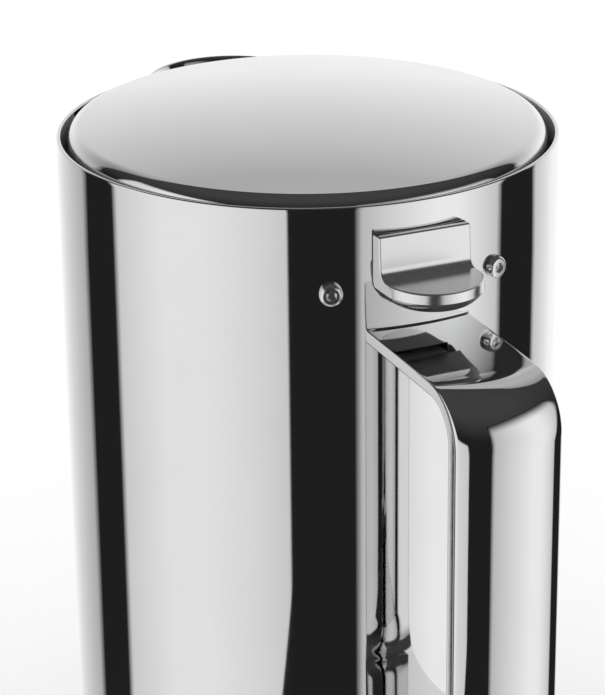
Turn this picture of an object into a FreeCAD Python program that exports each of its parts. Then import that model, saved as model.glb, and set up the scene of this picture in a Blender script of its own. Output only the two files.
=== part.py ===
import FreeCAD, Part
import Sketcher
import math
import os
import re

# Insulated pouring pot: a polished cylinder with a pouring lip, a strap handle and a
# domed lid that tips up when the thumb lever above the handle is pressed down.
# Frame: origin at the middle of the foot, +Z up, handle towards +X, lip towards -X.
# All sizes are in millimetres. A "drop" is a distance below the rim of the shell.

DIMENSIONS = [
    ("rim_height", 200.0, "rim of the shell above the table"),
    ("shell_radius", 64.0, "outer radius of the shell"),
    ("shell_wall", 1.0, "sheet of the shell"),
    ("lip_reach", 8.6, "pouring lip beyond the shell at the rim"),
    ("lip_radius", 22.0, "round of the lip at the rim"),
    ("lip_root", 6.0, "round of the lip where it runs into the wall"),
    ("lip_drop", 27.0, "depth of the lip's channel"),
    ("fit_gap", 0.05, "clearance of pieces that are pressed, glued or welded together"),
    ("running_gap", 0.05, "radial clearance of a pin in a bore that turns"),
    ("moving_gap", 0.5, "clearance between pieces that move past each other"),
    ("pad_inset", 6.0, "foot pad's edge inside the shell's outer face"),
    ("pad_radius", "shell_radius - pad_inset", "foot pad"),
    ("pad_thick", 2.4, "foot pad"),
    ("cover_thick", 2.6, "floor of the base cover"),
    ("cover_inset", 0.4, "base cover's flange inside the shell's outer face"),
    ("cover_foot", 1.2, "underside of the base cover's flange above the table"),
    ("cover_flange", 1.8, "thickness of the base cover's flange"),
    ("cover_skirt", 11.0, "skirt of the base cover inside the shell"),
    ("cover_skirt_wall", 2.0, "skirt of the base cover"),
    ("cushion_height", 7.0, "rubber ring under the flask"),
    ("cushion_inner", 30.0, "inner radius of that ring"),
    ("cushion_outer", 46.0, "outer radius of that ring"),
    ("flask_room", 3.0, "space between the flask and the shell"),
    ("flask_radius", "shell_radius - shell_wall - flask_room", "outer radius of the flask"),
    ("flask_wall", 0.8, "sheet of both flask cups"),
    ("flask_corner", 9.0, "round of the flask's bottom edge"),
    ("vacuum_gap", 5.2, "evacuated space between the flask's cups"),
    ("neck_step", 3.0, "flask's neck beyond the collar's throat"),
    ("flask_neck", "funnel_throat + neck_step", "outer radius of the flask's neck"),
    ("neck_gap", 1.1, "space between the cups in the neck"),
    ("neck_length", 8.0, "straight length of the flask's neck"),
    ("shoulder_length", 42.0, "height of the flask's shoulder"),
    ("seal_thick", 2.0, "flask gasket"),
    ("funnel_top_drop", 29.0, "upper edge of the collar's cone"),
    ("funnel_throat_drop", 38.0, "lower edge of the collar's cone"),
    ("funnel_throat", "plug_flange", "radius of the collar's throat"),
    ("funnel_edge", 4.0, "outer edge of the collar"),
    ("funnel_foot", 2.0, "foot of the collar on the gasket"),
    ("lid_gap", 1.7, "lid's edge to the shell's inner face"),
    ("lid_radius", "shell_radius - shell_wall - lid_gap", "outer radius of the lid"),
    ("lid_edge_rise", 2.7, "top of the lid's rounded edge above the rim"),
    ("lid_edge_radius", 3.2, "round of the lid's edge"),
    ("lid_crown", 4.1, "middle of the dome above its edge"),
    ("lid_wall", 0.9, "sheet of the dome"),
    ("lid_skirt", 4.0, "skirt of the dome below the rim"),
    ("pan_drop", 2.5, "upper face of the lid's plate below the rim"),
    ("pan_thick", 2.0, "lid's plate"),
    ("pan_notch_inset", 17.2, "front of the cut-out for the hinge, inside the shell"),
    ("pan_notch_x", "shell_radius - pan_notch_inset", "the same from the pot's axis"),
    ("pan_notch_half", 13.0, "half width of that cut-out"),
    ("boss_radius", 3.2, "screw bosses on the lid's plate"),
    ("boss_height", 3.0, "screw bosses on the lid's plate"),
    ("plug_boss_radius", 5.0, "middle boss on the lid's plate"),
    ("plug_room", 2.0, "stopper to the hinge lug's flange"),
    ("plug_radius", "lug_flange_x - plug_room", "stopper"),
    ("plug_wall", 1.4, "stopper"),
    ("plug_flange_width", 5.0, "stopper's flange beyond its wall"),
    ("plug_flange", "plug_radius + plug_flange_width", "radius of the stopper's flange"),
    ("plug_flange_thick", 2.0, "stopper's flange"),
    ("plug_drop", 37.0, "underside of the stopper"),
    ("seat_gap", 0.4, "stopper's gasket to the collar's cone with the lid shut"),
    ("ring_width", 2.7, "stopper's gasket beyond the flange"),
    ("ring_height", 3.2, "stopper's gasket at the flange"),
    ("plug_screw_radius", 2.0, "screw through the stopper"),
    ("plug_head_radius", 4.2, "head of that screw"),
    ("plug_head_height", 2.2, "head of that screw"),
    ("hinge_inset", 8.5, "lid's hinge axis inside the shell's outer face"),
    ("hinge_x", "shell_radius - hinge_inset", "the same from the pot's axis"),
    ("hinge_drop", 2.0, "lid's hinge axis"),
    ("hinge_pin_radius", 1.5, "hinge pin"),
    ("hinge_ring", 2.9, "radius of the lug round the hinge pin"),
    ("ear_radius", 2.6, "bracket's ear round the hinge pin"),
    ("lever_inset", 5.2, "lever's pin inside the shell's outer face"),
    ("lever_x", "shell_radius - lever_inset", "the same from the pot's axis"),
    ("lever_drop", 18.7, "lever's pin"),
    ("lever_pin_radius", 1.5, "lever's pin"),
    ("lever_boss", 3.0, "lever's boss round its pin"),
    ("lift_inset", 14.0, "lift pin inside the shell's outer face with the lid shut"),
    ("lift_x", "shell_radius - lift_inset", "the same from the pot's axis"),
    ("lift_drop", 15.0, "lift pin with the lid shut"),
    ("lift_radius", 2.0, "lift pin"),
    ("lift_eye", 3.0, "lug round the lift pin"),
    ("lift_gap", 0.4, "lift pin to the lever's track"),
    ("track_slope", 0.0875, "rise of the lever's track towards the pot's axis"),
    ("arm_end_inset", 23.2, "inner end of the lever's arm inside the shell"),
    ("arm_end_x", "shell_radius - arm_end_inset", "the same from the pot's axis"),
    ("arm_width", 7.0, "lever's arm"),
    ("arm_thick", 3.2, "lever's arm at its end"),
    ("lug_width", 12.4, "hinge lug over both tines"),
    ("lug_slot", 8.4, "space between the tines of the hinge lug"),
    ("lug_flange_inset", 23.5, "inner end of the lug's flange inside the shell"),
    ("lug_flange_x", "shell_radius - lug_flange_inset", "the same from the pot's axis"),
    ("lug_flange_thick", 2.0, "lug's flange under the lid's plate"),
    ("lug_screw_inset", 20.4, "screws of the lug inside the shell"),
    ("lug_screw_x", "shell_radius - lug_screw_inset", "the same from the pot's axis"),
    ("lug_screw_y", 4.0, "screws of the lug from the middle"),
    ("lug_screw_radius", 1.5, "screws of the lug"),
    ("lug_head_radius", 2.7, "heads of those screws"),
    ("lug_head_height", 1.6, "heads of those screws"),
    ("cheek_half", 8.6, "half the space between the bracket's cheeks"),
    ("cheek_wall", 2.0, "bracket's cheeks"),
    ("bracket_wall", 2.0, "bracket's curved back"),
    ("bracket_half", 27.0, "half width of the bracket's back"),
    ("bracket_top_drop", 9.0, "upper edge of the bracket's back"),
    ("bracket_bottom_drop", 27.5, "lower edge of the bracket's back"),
    ("window_top_drop", 12.0, "upper edge of the bracket's window"),
    ("window_bottom_drop", 25.0, "lower edge of the bracket's window"),
    ("clip_radius", 2.8, "retaining rings"),
    ("clip_thick", 0.8, "retaining rings"),
    ("clip_mouth", 2.2, "opening of the retaining rings"),
    ("pin_end", 1.2, "pins beyond the cheeks"),
    ("washer_radius", 3.0, "side washers of the lever"),
    ("screw_angle", 20.0, "wall screws to each side of the handle, in degrees"),
    ("screw_drop", 21.5, "wall screws"),
    ("screw_radius", 1.5, "thread of the wall screws"),
    ("screw_head_radius", 2.85, "head of the wall screws"),
    ("screw_head_height", 2.0, "head of the wall screws"),
    ("screw_head_edge", 0.7, "straight edge of that head"),
    ("screw_head_top", 1.9, "flat top of that head"),
    ("screw_length", 7.5, "wall screws under the head"),
    ("socket_across", 2.4, "hexagon socket across its flats"),
    ("socket_depth", 1.2, "hexagon socket"),
    ("nut_across", 5.5, "nuts across their flats"),
    ("nut_height", 2.4, "nuts"),
    ("thumb_standoff", 2.8, "face of the thumb plate from the wall"),
    ("thumb_width", 23.6, "thumb plate and shelf"),
    ("thumb_top_drop", 7.0, "upper edge of the thumb plate"),
    ("shelf_top_drop", 17.0, "upper face of the thumb shelf"),
    ("shelf_thick", 5.7, "thumb shelf"),
    ("shelf_reach", 15.8, "nose of the shelf from the thumb plate's face"),
    ("nose_radius", 12.0, "round of the shelf's nose, seen from above"),
    ("nose_top_edge", 0.7, "round of the shelf's upper edge"),
    ("nose_bottom_edge", 2.8, "round of the shelf's lower edge"),
    ("thumb_corner", 2.4, "inner round between plate and shelf"),
    ("thumb_relief", 1.5, "relief behind the shelf's lower edge"),
    ("thumb_neck", 15.0, "neck of the lever in the wall's slot"),
    ("lever_sweep", 1.6, "room for the neck below its rest place"),
    ("handle_width", 27.6, "handle strap"),
    ("arm_thickness", 3.4, "side of the strap at its flat arms"),
    ("grip_thickness", 5.8, "side of the strap along the grip"),
    ("grip_round", 24.0, "round of the grip's crowned outer face, seen from above"),
    ("handle_top_drop", 31.4, "upper face of the handle"),
    ("handle_height", 110.6, "handle from its upper to its lower face"),
    ("finger_room", 41.0, "space between the wall and the grip"),
    ("handle_bend", 9.5, "inner bend of the strap"),
    ("handle_root", 4.0, "blank of the strap inside the wall's face before it is cut to it"),
    ("handle_outer_edge", 1.2, "round of the strap's outer edges"),
    ("handle_inner_edge", 0.8, "round of the strap's inner edges"),
]

doc = FreeCAD.newDocument("pouring_pot")
sheet = doc.addObject("Spreadsheet::Sheet", "dims")
for row, (alias, value, note) in enumerate(DIMENSIONS, start=1):
    sheet.set("A%d" % row, note)
    sheet.setAlias("B%d" % row, alias)
for row, (alias, value, note) in enumerate(DIMENSIONS, start=1):
    sheet.set("B%d" % row, "=" + value if isinstance(value, str) else str(value))
doc.recompute()
ALIASES = {alias for alias, value, note in DIMENSIONS}


def bound(text):
    """Write a size formula with its words pointed at the sheet's cells."""
    def point(match):
        word = match.group(0)
        return "dims." + word if word in ALIASES else word
    return re.sub(r"[A-Za-z_]\w*", point, text)


def size(text):
    """Value of a size formula."""
    return float(sheet.evalExpression(bound(text)))


def bind(obj, prop, text):
    obj.setExpression(prop, bound(text))


def place(obj, x="0", y="0", z="0"):
    """Set an object down at a place that follows the sheet."""
    bind(obj, "Placement.Base.x", x)
    bind(obj, "Placement.Base.y", y)
    bind(obj, "Placement.Base.z", z)
    return obj


def turn(obj, axis, degrees):
    """Turn an object about an axis through its own origin."""
    obj.Placement = FreeCAD.Placement(obj.Placement.Base, FreeCAD.Rotation(axis, size(degrees)))
    bind(obj, "Placement.Rotation.Angle", degrees)
    return obj


X_AXIS = FreeCAD.Vector(1, 0, 0)
Y_AXIS = FreeCAD.Vector(0, 1, 0)
Z_AXIS = FreeCAD.Vector(0, 0, 1)


def arc_between(start, end, radius, left):
    """Arc of under a half circle from start to end; left bulges to the left of the way."""
    chord = end - start
    half = chord.Length / 2
    across = FreeCAD.Vector(-chord.y, chord.x, 0).normalize()
    if left:
        across = across * -1
    centre = start + chord * 0.5 + across * math.sqrt(max(radius ** 2 - half ** 2, 0))
    circle = Part.Circle(centre, Z_AXIS, radius)
    first, last = (end, start) if left else (start, end)
    begin = math.atan2(first.y - centre.y, first.x - centre.x)
    finish = math.atan2(last.y - centre.y, last.x - centre.x)
    return Part.ArcOfCircle(circle, begin, finish)


def outline(sketch, corners):
    """Draw a closed outline whose corners and arcs follow the sheet.

    Each corner is (across, up), or (across, up, radius, side) where the stretch that
    starts there is an arc which bulges to the "left" or "right" of the way along it.
    """
    points = [FreeCAD.Vector(size(c[0]), size(c[1]), 0) for c in corners]
    starts = []
    ends = []
    for index, corner in enumerate(corners):
        start = points[index]
        end = points[(index + 1) % len(points)]
        if len(corner) == 2:
            geo = sketch.addGeometry(Part.LineSegment(start, end), False)
            starts.append((geo, 1))
            ends.append((geo, 2))
            continue
        left = corner[3] == "left"
        geo = sketch.addGeometry(arc_between(start, end, size(corner[2]), left), False)
        starts.append((geo, 2 if left else 1))
        ends.append((geo, 1 if left else 2))
    for index, corner in enumerate(corners):
        geo, end = starts[index]
        before, before_end = ends[index - 1]
        sketch.addConstraint(Sketcher.Constraint("Coincident", before, before_end, geo, end))
        for kind, axis, text in (("DistanceX", -2, corner[0]), ("DistanceY", -1, corner[1])):
            if text == "0":
                sketch.addConstraint(Sketcher.Constraint("PointOnObject", geo, end, axis))
                continue
            number = sketch.addConstraint(Sketcher.Constraint(kind, -1, 1, geo, end, size(text)))
            bind(sketch, "Constraints[%d]" % number, text)
        if len(corner) > 2:
            number = sketch.addConstraint(Sketcher.Constraint("Radius", geo, size(corner[2])))
            bind(sketch, "Constraints[%d]" % number, corner[2])


def new_body(label):
    body = doc.addObject("PartDesign::Body", label)
    body.Label = label
    return body


def new_sketch(body, plane, corners=None):
    sketch = body.newObject("Sketcher::SketchObject", body.Name + "_sketch")
    support = [o for o in body.Origin.OriginFeatures if o.Role == plane][0]
    sketch.AttachmentSupport = [(support, "")]
    sketch.MapMode = "FlatFace"
    doc.recompute()
    if corners:
        outline(sketch, corners)
    return sketch


def revolved(label, corners, axis="V_Axis"):
    """Body turned about the pot's axis, or about the radial axis for the wall screws."""
    body = new_body(label)
    sketch = new_sketch(body, "XZ_Plane", corners)
    spin = body.newObject("PartDesign::Revolution", label + "_turn")
    spin.Profile = sketch
    spin.ReferenceAxis = (sketch, [axis])
    spin.Angle = 360
    return body


def padded(label, corners, width, plane="XZ_Plane"):
    """Body with the same outline over its whole width, centred on the sketch plane."""
    body = new_body(label)
    sketch = new_sketch(body, plane, corners)
    pad = body.newObject("PartDesign::Pad", label + "_pad")
    pad.Profile = sketch
    pad.SideType = "Symmetric"
    bind(pad, "Length", width)
    return body


def box(name, x, y, z, length, width, height):
    solid = doc.addObject("Part::Box", name)
    bind(solid, "Length", length)
    bind(solid, "Width", width)
    bind(solid, "Height", height)
    return place(solid, x, y, z)


def upright(name, radius, height, x="0", y="0", z="0"):
    """Cylinder along +Z."""
    solid = doc.addObject("Part::Cylinder", name)
    bind(solid, "Radius", radius)
    bind(solid, "Height", height)
    return place(solid, x, y, z)


def crosswise(name, radius, width, x, z, y=None):
    """Cylinder along Y, centred on the middle plane or starting at y."""
    solid = doc.addObject("Part::Cylinder", name)
    bind(solid, "Radius", radius)
    bind(solid, "Height", width)
    solid.Placement = FreeCAD.Placement(FreeCAD.Vector(), FreeCAD.Rotation(X_AXIS, -90))
    return place(solid, x, y if y else "-(%s) / 2" % width, z)


def fused(name, *pieces):
    whole = doc.addObject("Part::MultiFuse", name)
    whole.Shapes = list(pieces)
    whole.Refine = True
    whole.Label = name
    return whole


def cut(name, base, *tools):
    tool = tools[0] if len(tools) == 1 else fused(name + "_tools", *tools)
    whole = doc.addObject("Part::Cut", name)
    whole.Base = base
    whole.Tool = tool
    whole.Refine = True
    whole.Label = name
    return whole


def mirrored(name, source):
    """Copy on the other side of the pot's middle plane."""
    copy = doc.addObject("Part::Mirroring", name)
    copy.Source = source
    copy.Normal = Y_AXIS
    return copy


def pair(name, source):
    """Two separate pieces, one on each side of the middle plane."""
    both = doc.addObject("Part::Compound", name)
    both.Links = [source, mirrored(name + "_other", source)]
    both.Label = name
    return both


def rounded(name, base, picks):
    """Round chosen edges; each pick is a radius and a test that an edge passes."""
    doc.recompute()
    chosen = []
    for number, edge in enumerate(base.Shape.Edges, start=1):
        for radius, wanted in picks:
            if wanted(edge):
                chosen.append((number, size(radius), size(radius)))
                break
    whole = doc.addObject("Part::Fillet", name)
    whole.Base = base
    whole.Edges = chosen
    whole.Label = name
    return whole


# Outer shell: a tube with a lip drawn out of the rim, open slot and holes at the handle.
def lip_flank(name, inset):
    """Slanting half-cone of the lip, from the rim's round down to the wall."""
    top = doc.addObject("Part::Circle", name + "_rim")
    bind(top, "Radius", "lip_radius - " + inset)
    place(top, "lip_radius - lip_reach - shell_radius", "0", "rim_height")
    root = doc.addObject("Part::Circle", name + "_root")
    bind(root, "Radius", "lip_root - " + inset)
    place(root, "lip_root - shell_radius", "0", "rim_height - lip_drop")
    flank = doc.addObject("Part::Loft", name)
    flank.Sections = [top, root]
    flank.Solid = True
    flank.Ruled = True
    return flank


SHELL_FOOT = "cover_foot + cover_flange + fit_gap"
shell_outside = fused(
    "shell_outside",
    upright("shell_tube", "shell_radius", "rim_height - (%s)" % SHELL_FOOT, z=SHELL_FOOT),
    lip_flank("lip_outside", "0"))
shell_inside = fused(
    "shell_inside",
    upright("shell_bore", "shell_radius - shell_wall", "rim_height"),
    lip_flank("lip_inside", "shell_wall"))
lever_slot = box(
    "lever_slot",
    "shell_radius - 4 * shell_wall", "-thumb_neck / 2 - moving_gap",
    "rim_height - shelf_top_drop - shelf_thick - lever_sweep - moving_gap",
    "8 * shell_wall", "thumb_neck + 2 * moving_gap",
    "shelf_thick + lever_sweep + 2 * moving_gap")


def wall_bore(name, radius):
    """Radial bore for a wall screw, through the shell and the bracket."""
    inner = "shell_radius - shell_wall - 2 * bracket_wall"
    outer = "shell_radius + shell_wall"
    bore = revolved(name, [(inner, "0"), (outer, "0"), (outer, radius), (inner, radius)], "H_Axis")
    place(bore, z="rim_height - screw_drop")
    return turn(bore, Z_AXIS, "screw_angle")


shell_hole = wall_bore("shell_hole", "screw_radius + 4 * fit_gap")
outer_shell = cut(
    "outer_shell",
    cut("shell_sheet", shell_outside, shell_inside),
    lever_slot, shell_hole, mirrored("shell_hole_other", shell_hole))

# Handle: a strap bent to a C, flat at its arms and crowned along the grip, butted to the wall.
GRIP_IN = "shell_radius + finger_room"
BEND_X = "shell_radius + finger_room - handle_bend"
ARM_LOW = "rim_height - handle_top_drop - arm_thickness"
FOOT_HIGH = "rim_height - handle_top_drop - handle_height + arm_thickness"
TOP_BEND = ARM_LOW + " - handle_bend"
LOW_BEND = FOOT_HIGH + " + handle_bend"
FLATTEST = 0.004
BEND_STEPS = (0, 15, 30, 45, 60, 75, 90)
STRAP_ALONG = FreeCAD.Rotation(FreeCAD.Vector(1, 1, 1), 120)


def strap_section(name, swell, tilt, x, z):
    """Section of the strap; swell runs from 0 at the flat arms to 1 at the crowned grip."""
    share = "%.4f" % max(swell, FLATTEST)
    crown = "(grip_round / %s)" % share
    half = "(handle_width / 2 - handle_outer_edge)"
    shoulder = "arm_thickness + %s * (grip_thickness - arm_thickness) - handle_outer_edge" % share
    reach = "handle_outer_edge / (%s - handle_outer_edge)" % crown
    rise = "sqrt((%s - handle_outer_edge)^2 - %s^2)" % (crown, half)
    crown_y = "%s * (1 + %s)" % (half, reach)
    crown_n = "%s + %s * %s" % (shoulder, rise, reach)
    inner = "handle_width / 2 - handle_inner_edge"
    section = doc.addObject("Sketcher::SketchObject", name)
    outline(section, [
        ("-(%s)" % inner, "0"),
        (inner, "0", "handle_inner_edge", "right"),
        ("handle_width / 2", "handle_inner_edge"),
        ("handle_width / 2", shoulder, "handle_outer_edge", "right"),
        (crown_y, crown_n, crown, "right"),
        ("-(%s)" % crown_y, crown_n, "handle_outer_edge", "right"),
        ("-handle_width / 2", shoulder),
        ("-handle_width / 2", "handle_inner_edge", "handle_inner_edge", "right"),
    ])
    turned = FreeCAD.Rotation(Y_AXIS, tilt).multiply(STRAP_ALONG)
    section.Placement = FreeCAD.Placement(FreeCAD.Vector(), turned)
    return place(section, x, "0", z)


def bend_sections(name, start, centre_z):
    """Sections round one bend of the strap."""
    sections = []
    for step in BEND_STEPS:
        tilt = start + step
        swell = math.sin(math.radians(tilt)) ** 2
        x = "%s + handle_bend * sin(%d deg)" % (BEND_X, tilt)
        z = "%s + handle_bend * cos(%d deg)" % (centre_z, tilt)
        sections.append(strap_section("%s_%d" % (name, tilt), swell, tilt, x, z))
    return sections


def strap_run(name, sections, smooth):
    """Stretch of the strap through its sections."""
    run = doc.addObject("Part::Loft", name)
    run.Sections = sections
    run.Solid = True
    run.Ruled = not smooth
    return run


ROOT_X = "shell_radius - handle_root"
top_bend = bend_sections("top_bend", 0, TOP_BEND)
low_bend = bend_sections("low_bend", 90, LOW_BEND)
arm_root = strap_section("arm_root", 0, 0, ROOT_X, ARM_LOW)
foot_root = strap_section("foot_root", 0, 180, ROOT_X, FOOT_HIGH)
strap_blank = fused(
    "strap_blank",
    strap_run("strap_arm", [arm_root, top_bend[0]], False),
    strap_run("strap_top_bend", top_bend, True),
    strap_run("strap_grip", [top_bend[-1], low_bend[0]], False),
    strap_run("strap_low_bend", low_bend, True),
    strap_run("strap_foot", [low_bend[-1], foot_root], False))
strap_seat = upright("strap_seat", "shell_radius + fit_gap", "rim_height")
handle_strap = cut("handle_strap", strap_blank, strap_seat)

# Base: cover with a skirt inside the shell, rubber pad below, rubber ring above.
COVER_TOP = "pad_thick + cover_thick"
SKIRT_OUT = "shell_radius - shell_wall - fit_gap"
base_cover = revolved("base_cover", [
    ("0", "pad_thick"),
    ("pad_radius + fit_gap", "pad_thick"),
    ("pad_radius + fit_gap", "cover_foot"),
    ("shell_radius - cover_inset", "cover_foot"),
    ("shell_radius - cover_inset", "cover_foot + cover_flange"),
    (SKIRT_OUT, "cover_foot + cover_flange"),
    (SKIRT_OUT, "cover_foot + cover_flange + cover_skirt"),
    (SKIRT_OUT + " - cover_skirt_wall", "cover_foot + cover_flange + cover_skirt"),
    (SKIRT_OUT + " - cover_skirt_wall", COVER_TOP),
    ("0", COVER_TOP),
])
foot_pad = upright("foot_pad", "pad_radius", "pad_thick")
foot_pad.Label = "foot_pad"
flask_cushion = cut(
    "flask_cushion",
    upright("cushion_disc", "cushion_outer", "cushion_height", z=COVER_TOP),
    upright("cushion_hole", "cushion_inner", "cushion_height", z=COVER_TOP))

# Vacuum flask: two cups with a shoulder and a neck, joined at the mouth.
FLASK_FOOT = COVER_TOP + " + cushion_height"
MOUTH = "rim_height - funnel_throat_drop - funnel_foot - seal_thick"
NECK = MOUTH + " - neck_length"
SHOULDER = NECK + " - shoulder_length"


def flask_cup(label, radius, neck, foot, flange):
    """Cup of one sheet with rounded bottom edge, conical shoulder and straight neck."""
    corner = "flask_corner"
    inner_corner = "flask_corner - flask_wall"
    return revolved(label, [
        ("0", foot),
        (radius + " - flask_corner", foot, corner, "right"),
        (radius, foot + " + flask_corner"),
        (radius, SHOULDER),
        (neck, NECK),
        (neck, MOUTH + " - " + flange[0]),
        (neck + " + " + flange[1], MOUTH + " - " + flange[0]),
        (neck + " + " + flange[1], MOUTH),
        (neck + " - flask_wall", MOUTH),
        (neck + " - flask_wall", NECK),
        (radius + " - flask_wall", SHOULDER),
        (radius + " - flask_wall", foot + " + flask_corner", inner_corner, "left"),
        (radius + " - flask_corner", foot + " + flask_wall"),
        ("0", foot + " + flask_wall"),
    ])


flask_outer = flask_cup("flask_outer", "flask_radius", "flask_neck", FLASK_FOOT,
                        ("flask_wall", "flask_wall"))
flask_inner = flask_cup("flask_inner", "flask_radius - flask_wall - vacuum_gap",
                        "flask_neck - flask_wall - neck_gap",
                        FLASK_FOOT + " + flask_wall + vacuum_gap",
                        ("flask_wall", "neck_gap - fit_gap"))
GASKET_IN = "flask_neck - 2 * flask_wall - neck_gap"
flask_gasket = cut(
    "flask_gasket",
    upright("gasket_disc", "flask_neck + flask_wall", "seal_thick", z=MOUTH),
    upright("gasket_hole", GASKET_IN, "seal_thick", z=MOUTH))

# Collar: a funnel from the flask's mouth out to the wall, seat of the stopper's gasket.
FUNNEL_OUT = "shell_radius - shell_wall - fit_gap"
FUNNEL_TOP = "rim_height - funnel_top_drop"
THROAT = "rim_height - funnel_throat_drop"
funnel_collar = revolved("funnel_collar", [
    ("funnel_throat", THROAT),
    ("funnel_throat", THROAT + " - funnel_foot"),
    ("flask_neck + 2 * flask_wall", THROAT + " - funnel_foot"),
    (FUNNEL_OUT, FUNNEL_TOP + " - funnel_edge"),
    (FUNNEL_OUT, FUNNEL_TOP),
])
FUNNEL_SLOPE = "(funnel_throat_drop - funnel_top_drop) / (%s - funnel_throat)" % FUNNEL_OUT

# Lid: domed sheet with a rounded edge and a short skirt inside the rim.
DOME_EDGE = "lid_radius - lid_edge_radius"
DOME_ROUND = "((lid_radius - lid_edge_radius)^2 + lid_crown^2) / (2 * lid_crown)"
EDGE_Z = "rim_height + lid_edge_rise"
lid_dome = revolved("lid_dome", [
    ("0", EDGE_Z + " + lid_crown", DOME_ROUND, "left"),
    (DOME_EDGE, EDGE_Z, "lid_edge_radius", "left"),
    ("lid_radius", EDGE_Z + " - lid_edge_radius"),
    ("lid_radius", "rim_height - lid_skirt"),
    ("lid_radius - lid_wall", "rim_height - lid_skirt"),
    ("lid_radius - lid_wall", EDGE_Z + " - lid_edge_radius",
     "lid_edge_radius - lid_wall", "right"),
    (DOME_EDGE, EDGE_Z + " - lid_wall", DOME_ROUND, "right"),
    ("0", EDGE_Z + " + lid_crown - lid_wall"),
])

# Lid's plate, cut out at the hinge, with bosses for the screws of lug and stopper.
PAN_TOP = "rim_height - pan_drop"
PAN_LOW = "rim_height - pan_drop - pan_thick"
pan_disc = upright("pan_disc", "lid_radius - lid_wall - fit_gap", "pan_thick", z=PAN_LOW)
pan_notch = box("pan_notch", "pan_notch_x", "-pan_notch_half", PAN_LOW,
                "lid_radius", "2 * pan_notch_half", "pan_thick")
lug_boss = upright("lug_boss", "boss_radius", "boss_height", "lug_screw_x", "lug_screw_y", PAN_TOP)
lug_thread = upright("lug_thread", "lug_screw_radius + fit_gap", "pan_thick + boss_height",
                     "lug_screw_x", "lug_screw_y", PAN_LOW)
lid_pan = cut(
    "lid_pan",
    fused("pan_blank",
          cut("pan_plate", pan_disc, pan_notch),
          lug_boss, mirrored("lug_boss_other", lug_boss),
          upright("plug_boss", "plug_boss_radius", "boss_height", z=PAN_TOP)),
    lug_thread, mirrored("lug_thread_other", lug_thread),
    upright("plug_thread", "plug_screw_radius + fit_gap", "pan_thick + boss_height", z=PAN_LOW))

# Stopper: thin cup under the plate with a flange, foam inside and a gasket round it.
PLUG_LOW = "rim_height - plug_drop"
lid_plug = revolved("lid_plug", [
    ("plug_screw_radius + fit_gap", PLUG_LOW),
    ("plug_flange", PLUG_LOW),
    ("plug_flange", PLUG_LOW + " + plug_flange_thick"),
    ("plug_radius", PLUG_LOW + " + plug_flange_thick"),
    ("plug_radius", PAN_LOW),
    ("plug_radius - plug_wall", PAN_LOW),
    ("plug_radius - plug_wall", PLUG_LOW + " + plug_wall"),
    ("plug_screw_radius + fit_gap", PLUG_LOW + " + plug_wall"),
])
FOAM_OUT = "plug_radius - plug_wall - 2 * fit_gap"
lid_foam = cut(
    "lid_foam",
    upright("foam_disc", FOAM_OUT, "plug_drop - plug_wall - pan_drop - pan_thick",
            z=PLUG_LOW + " + plug_wall"),
    upright("foam_hole", "plug_screw_radius + 4 * fit_gap",
            "plug_drop - plug_wall - pan_drop - pan_thick", z=PLUG_LOW + " + plug_wall"))


def seat(radius):
    """Underside of the stopper's gasket, a small gap above the collar's cone."""
    return "%s + (%s - funnel_throat) * %s + seat_gap" % (THROAT, radius, FUNNEL_SLOPE)


RING_IN = "plug_flange + fit_gap"
RING_OUT = "plug_flange + ring_width"
plug_gasket = revolved("plug_gasket", [
    (RING_IN, seat("(%s)" % RING_IN)),
    (RING_OUT, seat("(%s)" % RING_OUT)),
    (RING_OUT, seat("(%s)" % RING_OUT) + " + ring_height / 4"),
    (RING_IN, seat("(%s)" % RING_IN) + " + ring_height"),
])
plug_screw = revolved("plug_screw", [
    ("0", PLUG_LOW + " - plug_head_height"),
    ("plug_head_radius / 2", PLUG_LOW + " - plug_head_height"),
    ("plug_head_radius", PLUG_LOW + " - plug_head_height / 2"),
    ("plug_head_radius", PLUG_LOW),
    ("plug_screw_radius", PLUG_LOW),
    ("plug_screw_radius", PAN_TOP + " + boss_height"),
    ("0", PAN_TOP + " + boss_height"),
])

# Hinge lug: flange under the plate, ring on the hinge pin, forked leg with a cross pin.
HINGE_Z = "rim_height - hinge_drop"
LIFT_Z = "rim_height - lift_drop"
lug_leg = padded("lug_leg", [
    ("lug_flange_x", PAN_LOW),
    ("lug_flange_x", PAN_LOW + " - lug_flange_thick"),
    ("pan_notch_x", PAN_LOW + " - lug_flange_thick"),
    ("lift_x - lift_eye", LIFT_Z),
    ("lift_x + lift_eye", LIFT_Z),
    ("hinge_x + 0.8 * hinge_ring", HINGE_Z + " - 0.6 * hinge_ring"),
    ("hinge_x - 0.6 * hinge_ring", HINGE_Z + " + 0.3 * hinge_ring"),
    ("hinge_x - 1.6 * hinge_ring", PAN_LOW),
], "lug_width")
lug_bore = crosswise("lug_bore", "hinge_pin_radius + running_gap", "2 * cheek_half",
                     "hinge_x", HINGE_Z)
lift_bore = crosswise("lift_bore", "lift_radius + fit_gap", "2 * cheek_half", "lift_x", LIFT_Z)
fork_slot = box("fork_slot", "lift_x - 2 * lift_eye", "-lug_slot / 2",
                LIFT_Z + " - 2 * lift_eye", "4 * lift_eye", "lug_slot",
                "lift_drop - pan_drop - pan_thick - 2 * lug_flange_thick + 2 * lift_eye")
lug_hole = upright("lug_hole", "lug_screw_radius + fit_gap", "lug_flange_thick",
                   "lug_screw_x", "lug_screw_y", PAN_LOW + " - lug_flange_thick")
lid_lug = cut(
    "lid_lug",
    fused("lug_blank", lug_leg,
          crosswise("lug_ring", "hinge_ring", "2 * cheek_half - 2 * moving_gap", "hinge_x", HINGE_Z),
          crosswise("lug_eye", "lift_eye", "lug_width", "lift_x", LIFT_Z)),
    lug_bore, lift_bore, fork_slot, lug_hole, mirrored("lug_hole_other", lug_hole))
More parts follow.
